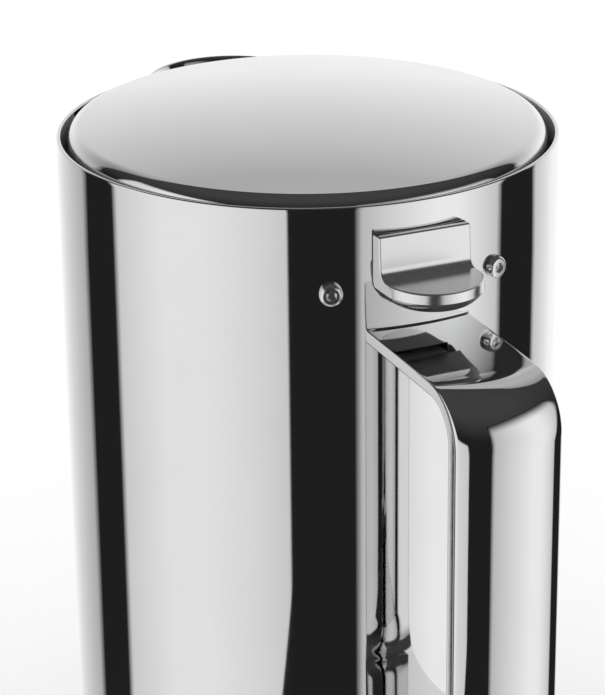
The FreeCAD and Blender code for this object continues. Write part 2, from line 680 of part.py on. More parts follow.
lift_pin = crosswise("lift_pin", "lift_radius", "lug_width", "lift_x", LIFT_Z)
lift_pin.Label = "lift_pin"
LUG_HEAD = PAN_LOW + " - lug_flange_thick - lug_head_height"
lug_screw = revolved("lug_screw", [
    ("0", LUG_HEAD),
    ("lug_head_radius / 2", LUG_HEAD),
    ("lug_head_radius", LUG_HEAD + " + lug_head_height / 2"),
    ("lug_head_radius", LUG_HEAD + " + lug_head_height"),
    ("lug_screw_radius", LUG_HEAD + " + lug_head_height"),
    ("lug_screw_radius", PAN_TOP + " + boss_height"),
    ("0", PAN_TOP + " + boss_height"),
])
place(lug_screw, "lug_screw_x", "lug_screw_y")
lug_screws = pair("lug_screws", lug_screw)

# Hinge bracket: curved back against the wall, two cheeks that hold both pins.
LEVER_Z = "rim_height - lever_drop"
BACK_OUT = "shell_radius - shell_wall - fit_gap"
BACK_LOW = "rim_height - bracket_bottom_drop"
BACK_HEIGHT = "bracket_bottom_drop - bracket_top_drop"
back_ring = cut(
    "back_ring",
    upright("back_outside", BACK_OUT, BACK_HEIGHT, z=BACK_LOW),
    upright("back_inside", BACK_OUT + " - bracket_wall", BACK_HEIGHT, z=BACK_LOW))
back_field = box("back_field", "0", "-bracket_half", BACK_LOW,
                 "shell_radius", "2 * bracket_half", BACK_HEIGHT)
back_plate = doc.addObject("Part::Common", "back_plate")
back_plate.Base = back_ring
back_plate.Tool = back_field
WINDOW_HALF = "cheek_half + cheek_wall + pin_end + moving_gap"
back_window = box("back_window", "shell_radius - 5 * bracket_wall", "-(%s)" % WINDOW_HALF,
                  "rim_height - window_bottom_drop", "5 * bracket_wall",
                  "2 * (%s)" % WINDOW_HALF, "window_bottom_drop - window_top_drop")
CHEEK_BACK = BACK_OUT + " - bracket_wall / 2"
cheeks = padded("cheeks", [
    ("hinge_x - ear_radius", HINGE_Z, "1.001 * ear_radius", "left"),
    ("hinge_x + ear_radius", HINGE_Z),
    ("hinge_x + 0.7 * ear_radius", "rim_height - bracket_top_drop + ear_radius / 2"),
    (CHEEK_BACK, "rim_height - bracket_top_drop - bracket_wall / 2"),
    (CHEEK_BACK, BACK_LOW),
    (CHEEK_BACK + " - bracket_wall", BACK_LOW),
    ("lever_x - 1.4 * lever_boss", LEVER_Z + " - lever_boss"),
    ("lever_x - 1.6 * lever_boss", LEVER_Z + " + lever_boss"),
], "2 * cheek_half + 2 * cheek_wall")
cheek_space = box("cheek_space", "0", "-cheek_half", BACK_LOW,
                  "shell_radius", "2 * cheek_half", "bracket_bottom_drop + lid_edge_rise")
bracket_hole = wall_bore("bracket_hole", "screw_radius + fit_gap")
hinge_bracket = cut(
    "hinge_bracket",
    fused("bracket_blank", cut("back_open", back_plate, back_window),
          cut("cheek_pair", cheeks, cheek_space)),
    bracket_hole, mirrored("bracket_hole_other", bracket_hole),
    crosswise("hinge_hole", "hinge_pin_radius + fit_gap", "4 * cheek_half", "hinge_x", HINGE_Z),
    crosswise("lever_hole", "lever_pin_radius + fit_gap", "4 * cheek_half", "lever_x", LEVER_Z))

# Pins with their retaining rings, and the washers that centre the lever.
PIN_LENGTH = "2 * cheek_half + 2 * cheek_wall + 2 * pin_end"
hinge_pin = crosswise("hinge_pin", "hinge_pin_radius", PIN_LENGTH, "hinge_x", HINGE_Z)
hinge_pin.Label = "hinge_pin"
lever_pin = crosswise("lever_pin", "lever_pin_radius", PIN_LENGTH, "lever_x", LEVER_Z)
lever_pin.Label = "lever_pin"
CLIP_Y = "cheek_half + cheek_wall + fit_gap"


def clip_pair(name, pin_radius, x, z):
    """Open retaining rings on both ends of a pin."""
    ring = crosswise(name + "_ring", "clip_radius", "clip_thick", x, z, CLIP_Y)
    bore = crosswise(name + "_bore", pin_radius + " + fit_gap", "clip_thick", x, z, CLIP_Y)
    mouth = box(name + "_mouth", x + " - clip_radius", CLIP_Y, z + " - clip_mouth / 2",
                "clip_radius", "clip_thick", "clip_mouth")
    return pair(name, cut(name + "_one", ring, bore, mouth))


hinge_clips = clip_pair("hinge_clips", "hinge_pin_radius", "hinge_x", HINGE_Z)
lever_clips = clip_pair("lever_clips", "lever_pin_radius", "lever_x", LEVER_Z)
WASHER_Y = "thumb_neck / 2 + moving_gap / 2"
washer_disc = crosswise("washer_disc", "washer_radius", "cheek_half - (%s)" % WASHER_Y,
                        "lever_x", LEVER_Z, WASHER_Y)
washer_hole = crosswise("washer_hole", "lever_pin_radius + fit_gap",
                        "cheek_half - (%s)" % WASHER_Y, "lever_x", LEVER_Z, WASHER_Y)
lever_washers = pair("lever_washers", cut("washer_one", washer_disc, washer_hole))

# Wall screws: button heads with a hexagon socket outside, nuts inside.
HEAD = "shell_radius + fit_gap"
HEAD_ROUND = "screw_head_radius"
screw_blank = revolved("screw_blank", [
    (HEAD + " - screw_length", "0"),
    (HEAD + " + screw_head_height", "0"),
    (HEAD + " + screw_head_height", "screw_head_top", HEAD_ROUND, "left"),
    (HEAD + " + screw_head_edge", "screw_head_radius"),
    (HEAD, "screw_head_radius"),
    (HEAD, "screw_radius"),
    (HEAD + " - screw_length", "screw_radius"),
], "H_Axis")
socket = doc.addObject("Part::Prism", "socket")
socket.Polygon = 6
bind(socket, "Circumradius", "socket_across / sqrt(3)")
bind(socket, "Height", "2 * socket_depth")
socket.Placement = FreeCAD.Placement(FreeCAD.Vector(), FreeCAD.Rotation(Y_AXIS, 90))
place(socket, HEAD + " + screw_head_height - socket_depth")
wall_screw = cut("wall_screw", screw_blank, socket)
place(wall_screw, z="rim_height - screw_drop")
turn(wall_screw, Z_AXIS, "screw_angle")
bracket_screws = pair("bracket_screws", wall_screw)
NUT_OUT = "shell_radius - shell_wall - fit_gap - bracket_wall"
nut_prism = doc.addObject("Part::Prism", "nut_prism")
nut_prism.Polygon = 6
bind(nut_prism, "Circumradius", "nut_across / sqrt(3)")
bind(nut_prism, "Height", "nut_height")
nut_prism.Placement = FreeCAD.Placement(FreeCAD.Vector(), FreeCAD.Rotation(Y_AXIS, 90))
place(nut_prism, NUT_OUT + " - nut_height - nut_across^2 / (5 * shell_radius)")
nut_bore = revolved("nut_bore", [
    (NUT_OUT + " - 2 * nut_height", "0"),
    (NUT_OUT + " + nut_height", "0"),
    (NUT_OUT + " + nut_height", "screw_radius + fit_gap"),
    (NUT_OUT + " - 2 * nut_height", "screw_radius + fit_gap"),
], "H_Axis")
wall_nut = cut("wall_nut", nut_prism, nut_bore)
place(wall_nut, z="rim_height - screw_drop")
turn(wall_nut, Z_AXIS, "screw_angle")
bracket_nuts = pair("bracket_nuts", wall_nut)

# Thumb lever: plate and rounded shelf outside, neck in the slot, boss and arm inside.
FACE = "shell_radius + thumb_standoff"
NOSE = "shell_radius + thumb_standoff + shelf_reach"
SHELF_TOP = "rim_height - shelf_top_drop"
SHELF_LOW = "rim_height - shelf_top_drop - shelf_thick"
BACK = "shell_radius + moving_gap"
thumb_side = padded("thumb_side", [
    ("shell_radius - thumb_standoff", "rim_height - thumb_top_drop"),
    (FACE, "rim_height - thumb_top_drop"),
    (FACE, SHELF_TOP + " + thumb_corner", "thumb_corner", "right"),
    (FACE + " + thumb_corner", SHELF_TOP),
    (NOSE, SHELF_TOP),
    (NOSE, SHELF_LOW),
    (BACK + " + thumb_relief", SHELF_LOW),
    (BACK, LEVER_Z),
    ("shell_radius - thumb_standoff", LEVER_Z),
], "thumb_width")
thumb_plan = padded("thumb_plan", [
    ("0", "-thumb_width / 2"),
    (NOSE + " - nose_radius + sqrt(nose_radius^2 - thumb_width^2 / 4)", "-thumb_width / 2",
     "nose_radius", "right"),
    (NOSE + " - nose_radius + sqrt(nose_radius^2 - thumb_width^2 / 4)", "thumb_width / 2"),
    ("0", "thumb_width / 2"),
], "3 * rim_height", "XY_Plane")
thumb_shape = doc.addObject("Part::Common", "thumb_shape")
thumb_shape.Base = thumb_side
thumb_shape.Tool = thumb_plan
thumb_blank = cut("thumb_blank", thumb_shape, upright("thumb_seat", BACK, "rim_height"))


def on_nose(edge, height):
    """Edges round the shelf's sides and nose at one height."""
    level = all(abs(v.Point.z - size(height)) < 0.01 for v in edge.Vertexes)
    middle = edge.valueAt((edge.FirstParameter + edge.LastParameter) / 2)
    outside = abs(middle.y) > size("thumb_width / 2") - 0.01 or middle.x > size(NOSE) - 0.01
    forward = max(v.Point.x for v in edge.Vertexes) > size(FACE + " + 2 * thumb_corner")
    return level and outside and forward


thumb_round = rounded("thumb_round", thumb_blank, [
    ("nose_top_edge", lambda edge: on_nose(edge, SHELF_TOP)),
    ("nose_bottom_edge", lambda edge: on_nose(edge, SHELF_LOW)),
])
lever_neck = box("lever_neck", "lever_x", "-thumb_neck / 2", SHELF_LOW,
                 FACE + " - lever_x", "thumb_neck", "shelf_thick")
TRACK_X = "lift_x - track_slope * (lift_radius + lift_gap)"
TRACK_Z = LIFT_Z + " - lift_radius - lift_gap"
lever_arm = padded("lever_arm", [
    ("arm_end_x", TRACK_Z + " + track_slope * (%s - arm_end_x)" % TRACK_X),
    ("arm_end_x", TRACK_Z + " + track_slope * (%s - arm_end_x) - arm_thick" % TRACK_X),
    ("lever_x", LEVER_Z + " - 0.9 * lever_boss"),
    ("lever_x", TRACK_Z + " + track_slope * (%s - lever_x)" % TRACK_X),
], "arm_width")
thumb_lever = cut(
    "thumb_lever",
    fused("lever_blank", thumb_round, lever_neck, lever_arm,
          crosswise("lever_hub", "lever_boss", "thumb_neck", "lever_x", LEVER_Z)),
    crosswise("lever_bore", "lever_pin_radius + running_gap", "2 * thumb_neck", "lever_x", LEVER_Z))

NODES = [
    outer_shell, handle_strap, bracket_screws, bracket_nuts, hinge_bracket, hinge_pin,
    hinge_clips, lever_pin, lever_clips, lever_washers, funnel_collar, flask_inner,
    flask_outer, flask_gasket, flask_cushion, base_cover, foot_pad, lid_dome, lid_pan,
    lid_plug, lid_foam, plug_gasket, plug_screw, lid_lug, lug_screws, lift_pin, thumb_lever,
]

doc.recompute()
faults = [o.Label for o in doc.Objects if "Invalid" in o.State or "Error" in o.State]
faults += [o.Label for o in NODES if o.Shape.isNull() or not o.Shape.isValid()]
if faults:
    raise RuntimeError("not built: " + ", ".join(faults))

os.makedirs("parts", exist_ok=True)
for node in NODES:
    node.Shape.exportStep("parts/%s.step" % node.Label)
    print(node.Label, len(node.Shape.Solids), "solid(s)", round(node.Shape.Volume, 1))
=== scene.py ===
import math

import bmesh
import bpy
from mathutils import Matrix, Vector


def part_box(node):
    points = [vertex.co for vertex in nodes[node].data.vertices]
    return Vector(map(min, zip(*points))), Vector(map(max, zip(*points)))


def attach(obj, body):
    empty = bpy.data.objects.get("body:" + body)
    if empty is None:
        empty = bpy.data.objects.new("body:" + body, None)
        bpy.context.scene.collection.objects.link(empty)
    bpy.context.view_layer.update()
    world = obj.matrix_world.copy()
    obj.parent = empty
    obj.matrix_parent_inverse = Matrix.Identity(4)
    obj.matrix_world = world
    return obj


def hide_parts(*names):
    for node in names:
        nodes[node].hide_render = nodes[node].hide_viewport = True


# Insulated pouring pot: mirror-polished shell, lid, handle and thumb lever over the CAD frame.
# Metres; +Z up from the table, handle towards +X, pouring lip towards -X.

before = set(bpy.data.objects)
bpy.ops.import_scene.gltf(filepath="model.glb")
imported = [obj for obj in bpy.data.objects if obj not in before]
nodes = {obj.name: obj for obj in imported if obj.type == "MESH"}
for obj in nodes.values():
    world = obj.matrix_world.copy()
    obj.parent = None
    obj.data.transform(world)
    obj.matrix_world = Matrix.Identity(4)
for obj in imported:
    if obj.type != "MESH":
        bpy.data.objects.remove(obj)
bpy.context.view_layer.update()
MM = 0.001

# ---------------------------------------------------------------- sizes of the pot
shell_low, shell_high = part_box("outer_shell")
lid_low, lid_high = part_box("lid_dome")
lever_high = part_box("thumb_lever")[1]
strap_low, strap_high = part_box("handle_strap")

RIM = shell_high.z
SHELL_RADIUS = shell_high.y
SHELL_FOOT = shell_low.z
SHELL_SHEET = 1.0 * MM
SHELL_COLUMNS = 500
WALL_LEVELS, LIP_LEVELS = 10, 44
RIM_ROUND = 0.42 * MM
LIP_TIP = -shell_low.x
LIP_DEPTH = 27.0 * MM
LIP_RIM_RADIUS = 22.0 * MM
LIP_ROOT_RADIUS = 6.0 * MM
LIP_BLEND = 0.55 * MM          # softness of the line where the lip leaves the wall
LIP_BLEND_RISE = 4             # from a quarter of the lip's height upward it is at its full
LIP_BLEND_REACH = 4            # it ends this many times its size from the line
POLISHED_THROAT = -40.0 * MM   # inside the shell only the lip beyond this is polished
SLOT_COLUMNS = 10              # half the width of the lever's slot, in columns of the wall
SLOT_LOW, SLOT_HIGH = RIM - 24.8 * MM, RIM - 16.5 * MM

LID_RADIUS = lid_high.x
LID_TOP = lid_high.z - 0.02 * MM
LID_LEAN = 0.008               # the lid rests a little higher at the lip
LID_SKIRT = lid_low.z
LID_SHEET = 0.9 * MM
LID_HEM = 0.3 * MM
LID_ROLL_WIDE, LID_ROLL_TALL = 3.4 * MM, 4.0 * MM
LID_CROWN = 4.5 * MM
LID_SEGMENTS, DOME_STEPS, ROLL_STEPS = 288, 64, 20

STRAP_WIDTH = strap_high.y - strap_low.y
ARM_THICK = 3.4 * MM
GRIP_THICK = 5.15 * MM
GRIP_CROWN = 21.3 * MM
LEAST_CROWN = 0.004            # share of the grip's crown that the flat arms keep
ARM_EDGE = 0.28 * MM
GRIP_EDGE = 1.2 * MM
STRAP_INNER_EDGE = 0.8 * MM
BEND_RADIUS = 9.5 * MM
BEND_X = 95.5 * MM
ARM_FALL = 1.1 * MM
GRIP_BELLY = 2.0 * MM
TOP_BEND_Z = strap_high.z - ARM_THICK - BEND_RADIUS - ARM_FALL
LOW_BEND_Z = strap_low.z + ARM_THICK + BEND_RADIUS
STRAP_SEAM = SHELL_RADIUS + 0.05 * MM
WELD_ROUND = 0.55 * MM
WELD_LEVEL = 0.9 * ARM_THICK   # only the strap's upper face runs into the weld's round
TOP_WELD_SHARES = [0.0, 0.004, 0.009, 0.016, 0.026]
LOW_WELD_SHARES = [0.012, 0.0]
ARM_STEPS, BEND_STEPS, GRIP_STEPS = 12, 48, 20

THUMB_FACE = 66.8 * MM
THUMB_TOP = lever_high.z
THUMB_HALF = lever_high.y + 0.35 * MM
THUMB_SEAT = SHELL_RADIUS + 0.28 * MM
SHELF_TOP = RIM - 17.3 * MM
SHELF_LOW = RIM - 22.7 * MM
SHELF_NOSE = lever_high.x
SHELF_RELIEF = 1.5 * MM
LEVER_AXIS_Z = RIM - 18.7 * MM
NOSE_ROUND = 12.3 * MM
NOSE_UNDERSIDE = 2.8 * MM
NOSE_STEPS, SEAT_STEPS = 48, 16
THUMB_CORNER = 2.7 * MM
THUMB_LEAN = 0.45 * MM
THUMB_EDGE = 0.45 * MM
UNPOLISHED_END = 75.2 * MM     # the flat underside is polished only outside this; inside it, dark plastic paints the shade under the shelf
STRAIGHT_DOWN = -0.99          # slopes that sort the faces of the underside into polished steel and painted shade
DOWNWARD = -0.25
LEFTWARD = -0.35
ARM_COPY_END = THUMB_SEAT + 0.6 * MM

SCREW_TURN = math.radians(20.0)
SCREW_HEIGHT = RIM - 21.5 * MM
SCREW_SEAT = SHELL_RADIUS + 0.05 * MM
SCREW_HEAD = 2.85 * MM
SCREW_RISE = 2.0 * MM
SCREW_SIDE = 0.7 * MM
SCREW_FACE = 1.9 * MM
SCREW_SHANK, SCREW_TIP = 1.5 * MM, 1.2 * MM
SCREW_LENGTH, SCREW_POINT = 7.5 * MM, 0.3 * MM
SCREW_COLUMNS, HEAD_STEPS = 48, 12
SOCKET_ACROSS = 2.4 * MM
SOCKET_DEPTH = 1.2 * MM
SOCKET_MOUTH, SOCKET_TAPER = 1.06, 0.96
SOCKET_LEAD = 0.08 * MM        # chamfer round the socket's mouth
SOCKET_CONE = 0.25 * MM        # drill point at the socket's bottom

ROOM_LEVEL = 0.016
CEILING_LEVEL = 0.06
CEILING_FADE = (0.2, 0.9)
TABLE_LEVEL = 0.55
TABLE_FADE = (-44.0, -38.0)    # degrees below the horizon
REAR_DISTANCE = 500            # millimetres from the pot's axis, as in all panel plans
FLOOR_HALF = 6
FLOOR_LIFT = 0.06


# ---------------------------------------------------------------- finishes
class Finish:
    """A node-based material, with short words for adding nodes and joining them."""

    def __init__(self, name):
        self.material = bpy.data.materials.new(name)
        self.material.use_nodes = True
        self.tree = self.material.node_tree
        self.shader = next(n for n in self.tree.nodes if n.type == "BSDF_PRINCIPLED")

    def node(self, kind, **settings):
        """A new shader node with some of its settings."""
        made = self.tree.nodes.new("ShaderNode" + kind)
        for setting, value in settings.items():
            setattr(made, setting, value)
        return made

    def join(self, source, target):
        """Lead an output to an input."""
        self.tree.links.new(source, target)

    def place(self, stretch):
        """The piece's own coordinates, stretched for a grain that runs one way."""
        where = self.node("TexCoord")
        mapping = self.node("Mapping")
        mapping.inputs["Scale"].default_value = stretch
        self.join(where.outputs["Object"], mapping.inputs["Vector"])
        return mapping.outputs["Vector"]

    def noise(self, where, scale, detail=2.0, rough=0.5):
        """Uneven grey at a place of the piece."""
        made = self.node("TexNoise")
        made.inputs["Scale"].default_value = scale
        made.inputs["Detail"].default_value = detail
        made.inputs["Roughness"].default_value = rough
        self.join(where, made.inputs["Vector"])
        return made.outputs["Fac"]

    def shades(self, factor, *stops):
        """Colours along a grey value, as (position, colour) stops."""
        ramp = self.node("ValToRGB")
        marks = ramp.color_ramp.elements
        for mark, (position, colour) in zip(marks, (stops[0], stops[-1])):
            mark.position = position
            mark.color = (*colour, 1.0)
        for position, colour in stops[1:-1]:
            marks.new(position).color = (*colour, 1.0)
        self.join(factor, ramp.inputs["Fac"])
        return ramp.outputs["Color"]

    def span(self, value, low, high):
        """The middle half of a noise, brought to run between two values."""
        made = self.node("MapRange")
        made.inputs["From Min"].default_value = 0.25
        made.inputs["From Max"].default_value = 0.75
        made.inputs["To Min"].default_value = low
        made.inputs["To Max"].default_value = high
        self.join(value, made.inputs["Value"])
        return made.outputs["Result"]

    def relief(self, height, depth, strength=1.0):
        """Fine unevenness of the surface, its depth in metres."""
        bump = self.node("Bump")
        bump.inputs["Strength"].default_value = strength
        bump.inputs["Distance"].default_value = depth
        self.join(height, bump.inputs["Height"])
        self.join(bump.outputs["Normal"], self.shader.inputs["Normal"])

    def colour(self, output):
        """Let an output set the colour."""
        self.join(output, self.shader.inputs["Base Color"])

    def roughness(self, output):
        """Let an output set how blurred the reflections are."""
        self.join(output, self.shader.inputs["Roughness"])


def mirror_steel(name, lines, gloss=(0.022, 0.05)):
    """Polished stainless sheet: faint buffing lines and a breath of unevenness."""
    steel = Finish(name)
    steel.shader.inputs["Metallic"].default_value = 1.0
    cloud = steel.noise(steel.place((1.0, 1.0, 1.0)), 28.0, 3.0)
    steel.colour(steel.shades(cloud, (0.3, (0.765, 0.768, 0.772)), (0.7, (0.792, 0.794, 0.796))))
    buffing = steel.noise(steel.place(lines), 420.0, 2.0, 0.6)
    steel.roughness(steel.span(buffing, *gloss))
    steel.relief(buffing, 0.0000004)
    return steel.material


def satin_steel(name, lines, metal=1.0):
    """Brushed stainless sheet of the pieces inside."""
    steel = Finish(name)
    steel.shader.inputs["Metallic"].default_value = metal
    brushing = steel.noise(steel.place(lines), 900.0, 3.0, 0.65)
    steel.colour(steel.shades(brushing, (0.25, (0.55, 0.55, 0.56)), (0.75, (0.68, 0.68, 0.69))))
    steel.roughness(steel.span(brushing, 0.22, 0.36))
    steel.relief(brushing, 0.000004)
    return steel.material


def grained_plastic(name):
    """Moulded dark plastic with a fine spark-eroded grain."""
    plastic = Finish(name)
    where = plastic.place((1.0, 1.0, 1.0))
    tone = plastic.noise(where, 35.0, 2.0)
    grain = plastic.noise(where, 2600.0, 2.0, 0.6)
    plastic.colour(plastic.shades(tone, (0.3, (0.045, 0.046, 0.05)), (0.7, (0.07, 0.07, 0.075))))
    plastic.roughness(plastic.span(grain, 0.38, 0.56))
    plastic.relief(grain, 0.00004, 0.5)
    return plastic.material


def matt_rubber(name):
    """Black rubber: dull, with a dusty bloom and a soft pebbled skin."""
    rubber = Finish(name)
    where = rubber.place((1.0, 1.0, 1.0))
    bloom = rubber.noise(where, 60.0, 4.0)
    skin = rubber.noise(where, 1500.0, 2.0)
    rubber.colour(rubber.shades(bloom, (0.3, (0.022, 0.022, 0.022)), (0.75, (0.042, 0.041, 0.04))))
    rubber.roughness(rubber.span(bloom, 0.68, 0.84))
    rubber.relief(skin, 0.00006, 0.5)
    return rubber.material


def rigid_foam(name):
    """Cream insulating foam with small closed cells."""
    foam = Finish(name)
    where = foam.place((1.0, 1.0, 1.0))
    cells = foam.node("TexVoronoi")
    cells.inputs["Scale"].default_value = 900.0
    foam.join(where, cells.inputs["Vector"])
    hollow = cells.outputs["Distance"]
    foam.colour(foam.shades(hollow, (0.1, (0.80, 0.77, 0.68)), (0.7, (0.86, 0.84, 0.77))))
    foam.roughness(foam.span(foam.noise(where, 300.0), 0.8, 0.95))
    foam.relief(hollow, 0.0002, 0.6)
    return foam.material


shell_polish = mirror_steel("shell_mirror_polish", (1.0, 1.0, 14.0))
lid_polish = mirror_steel("lid_mirror_polish", (1.0, 1.0, 6.0))
strap_polish = mirror_steel("strap_mirror_polish", (1.0, 9.0, 1.0))
lever_polish = mirror_steel("lever_mirror_polish", (1.0, 7.0, 1.0), (0.19, 0.25))
screw_polish = mirror_steel("screw_tumbled_polish", (5.0, 5.0, 1.0), (0.16, 0.24))
pickled_steel = satin_steel("pickled_shell_inside", (9.0, 9.0, 1.0), 0.35)
# painted shade: this dark plastic stands in for the shade under the lever's shelf and inside the
# wall
lever_underside = grained_plastic("lever_painted_shade_plastic")
turned_steel = satin_steel("turned_satin_steel", (1.0, 9.0, 1.0))
drawn_steel = satin_steel("drawn_satin_steel", (1.0, 1.0, 9.0))
dark_plastic = grained_plastic("dark_grained_plastic")
black_rubber = matt_rubber("black_matt_rubber")
cream_foam = rigid_foam("cream_rigid_foam")


# ---------------------------------------------------------------- mesh words
def sheet_mesh(name, points, faces, crease=35.0):
    """A smooth mesh with sharp edges only where faces meet at more than the crease."""
    mesh = bpy.data.meshes.new(name)
    mesh.from_pydata([tuple(p) for p in points], [], faces)
    mesh.validate()
    mesh.shade_smooth()
    mesh.set_sharp_from_angle(angle=math.radians(crease))
    mesh.update()
    return mesh


def show(name, mesh):
    """Put a mesh into the scene as a piece of its own."""
    piece = bpy.data.objects.new(name, mesh)
    bpy.context.scene.collection.objects.link(piece)
    return piece


def stands_for(piece, finish, body, node, second=None):
    """Give a piece its finish and its body, and let it stand for a CAD node.

    A second finish goes on the faces that its mesh marks for it.
    """
    marks = [face.material_index for face in piece.data.polygons]
    piece.data.materials.clear()
    piece.data.materials.append(finish)
    if second:
        piece.data.materials.append(second)
        piece.data.polygons.foreach_set("material_index", marks)
    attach(piece, body)
    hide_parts(node)
    return piece


def turned_mesh(name, outline, segments):
    """Turn an outline of (radius, height) round the pot's axis, from pole to pole."""
    points, rings, faces = [], [], []
    for radius, height in outline:
        if radius == 0.0:
            rings.append([len(points)] * segments)
            points.append((0.0, 0.0, height))
        else:
            rings.append(list(range(len(points), len(points) + segments)))
            for k in range(segments):
                a = 2 * math.pi * k / segments
                points.append((radius * math.cos(a), radius * math.sin(a), height))
    for low, high in zip(rings, rings[1:]):
        for k in range(segments):
            n = (k + 1) % segments
            corners = []
            for c in (low[k], high[k], high[n], low[n]):
                if c not in corners:
                    corners.append(c)
            faces.append(corners)
    return sheet_mesh(name, points, faces)


def arc(centre, radius, start, end, steps):
    """Points of a round, in degrees, as (across, up) pairs."""
    made = []
    for k in range(steps + 1):
        a = math.radians(start + (end - start) * k / steps)
        made.append((centre[0] + radius * math.cos(a), centre[1] + radius * math.sin(a)))
    return made


def merge_doubles(work, distance):
    """Merge points that coincide and drop the faces that this leaves without area."""
    bmesh.ops.remove_doubles(work, verts=work.verts, dist=distance)
    bmesh.ops.dissolve_degenerate(work, edges=work.edges, dist=1e-7)


def smooth_copy(node, name, crease=28.0):
    """A merged copy of a CAD node, smooth over its rounds and sharp at its edges."""
    mesh = nodes[node].data.copy()
    mesh.name = name
    work = bmesh.new()
    work.from_mesh(mesh)
    merge_doubles(work, 2e-6)
    work.to_mesh(mesh)
    work.free()
    mesh.shade_smooth()
    mesh.set_sharp_from_angle(angle=math.radians(crease))
    return mesh


def settle(piece):
    """Turn a piece with modifiers into a plain mesh."""
    bpy.context.view_layer.update()
    seen = piece.evaluated_get(bpy.context.evaluated_depsgraph_get())
    marks = [face.material_index for face in piece.data.polygons]
    mesh = bpy.data.meshes.new_from_object(seen)
    piece.modifiers.clear()
    piece.data = mesh
    if len(marks) == len(mesh.polygons):
        mesh.polygons.foreach_set("material_index", marks)


def even_shading(piece):
    """Let the large flats rule the shading of the small rounds beside them."""
    weighted = piece.modifiers.new("even_shading", "WEIGHTED_NORMAL")
    weighted.keep_sharp = True
    weighted.weight = 100
    settle(piece)


# ---------------------------------------------------------------- outer shell
def lip_swell(turn, share):
    """How far the pouring lip stands out of the wall at one bearing and height share."""
    if share <= 0:
        return 0.0
    radius = LIP_ROOT_RADIUS + (LIP_RIM_RADIUS - LIP_ROOT_RADIUS) * share
    reach = SHELL_RADIUS + (LIP_TIP - SHELL_RADIUS) * share
    middle = reach - radius
    across = radius ** 2 - (middle * math.sin(turn)) ** 2
    if across <= 0 or math.cos(turn) > 0:
        return 0.0
    proud = -middle * math.cos(turn) + math.sqrt(across) - SHELL_RADIUS
    blend = LIP_BLEND * min(1.0, LIP_BLEND_RISE * share)
    grown = blend * math.log1p(math.exp(proud / blend))
    tip = LIP_TIP - SHELL_RADIUS
    return min(grown, tip * share if proud > LIP_BLEND_REACH * blend else tip)


def shell_mesh():
    """Sheet wall with its rounded rim, the lip drawn out of it and the lever's slot."""
    columns = SHELL_COLUMNS
    lip_foot, lip_top = RIM - LIP_DEPTH, RIM - RIM_ROUND
    levels = [SHELL_FOOT + (lip_foot - SHELL_FOOT) * k / WALL_LEVELS for k in range(WALL_LEVELS)]
    levels += [lip_foot + (lip_top - lip_foot) * k / LIP_LEVELS for k in range(LIP_LEVELS + 1)]
    for edge in (SLOT_LOW, SLOT_HIGH):
        beside_lip = range(WALL_LEVELS, len(levels) - 1)
        nearest = min(beside_lip, key=lambda i: abs(levels[i] - edge))
        levels[nearest] = edge
    profile = [(0.0, z) for z in levels]
    flat = SHELL_SHEET - 2 * RIM_ROUND
    profile += arc((-RIM_ROUND, lip_top), RIM_ROUND, 0, 90, 5)[1:]
    profile += arc((-RIM_ROUND - flat, lip_top), RIM_ROUND, 90, 180, 5)
    profile += [(-SHELL_SHEET, z) for z in reversed(levels[:-1])]
    points = []
    for k in range(columns):
        turn = 2 * math.pi * k / columns
        for inset, height in profile:
            share = (height - lip_foot) / LIP_DEPTH
            radius = SHELL_RADIUS + inset + lip_swell(turn, share)
            points.append((radius * math.cos(turn), radius * math.sin(turn), height))
    count, tall = len(profile), len(levels)
    low, high = levels.index(SLOT_LOW), levels.index(SLOT_HIGH)
    slot = set(range(-SLOT_COLUMNS, SLOT_COLUMNS))

    def at(k, i):
        """Number of the point at one column and one place of the profile."""
        return (k % columns) * count + i % count

    def inside(i):
        """Place on the inner wall at the height of an outer place."""
        return count - 1 - i

    faces, rough_side = [], []
    for k in range(-columns // 2, columns // 2):
        for i in range(count):
            behind = count - 2 - i
            if k in slot and (low <= i < high or low <= behind < high):
                continue
            if i >= count - tall:
                rough_side.append(len(faces))
            faces.append((at(k, i), at(k + 1, i), at(k + 1, i + 1), at(k, i + 1)))
    for i in range(low, high):
        a, b = -SLOT_COLUMNS, SLOT_COLUMNS
        faces.append((at(a, i), at(a, i + 1), at(a, inside(i + 1)), at(a, inside(i))))
        faces.append((at(b, i + 1), at(b, i), at(b, inside(i)), at(b, inside(i + 1))))
    for k in sorted(slot):
        faces.append((at(k + 1, low), at(k, low), at(k, inside(low)), at(k + 1, inside(low))))
        faces.append((at(k, high), at(k + 1, high), at(k + 1, inside(high)), at(k, inside(high))))
    mesh = sheet_mesh("polished_shell", points, faces, crease=50.0)
    for face in rough_side:
        if mesh.polygons[face].center.x > POLISHED_THROAT:
            mesh.polygons[face].material_index = 1
    return mesh


stands_for(show("polished_shell", shell_mesh()), shell_polish,
           "pot", "outer_shell", pickled_steel)


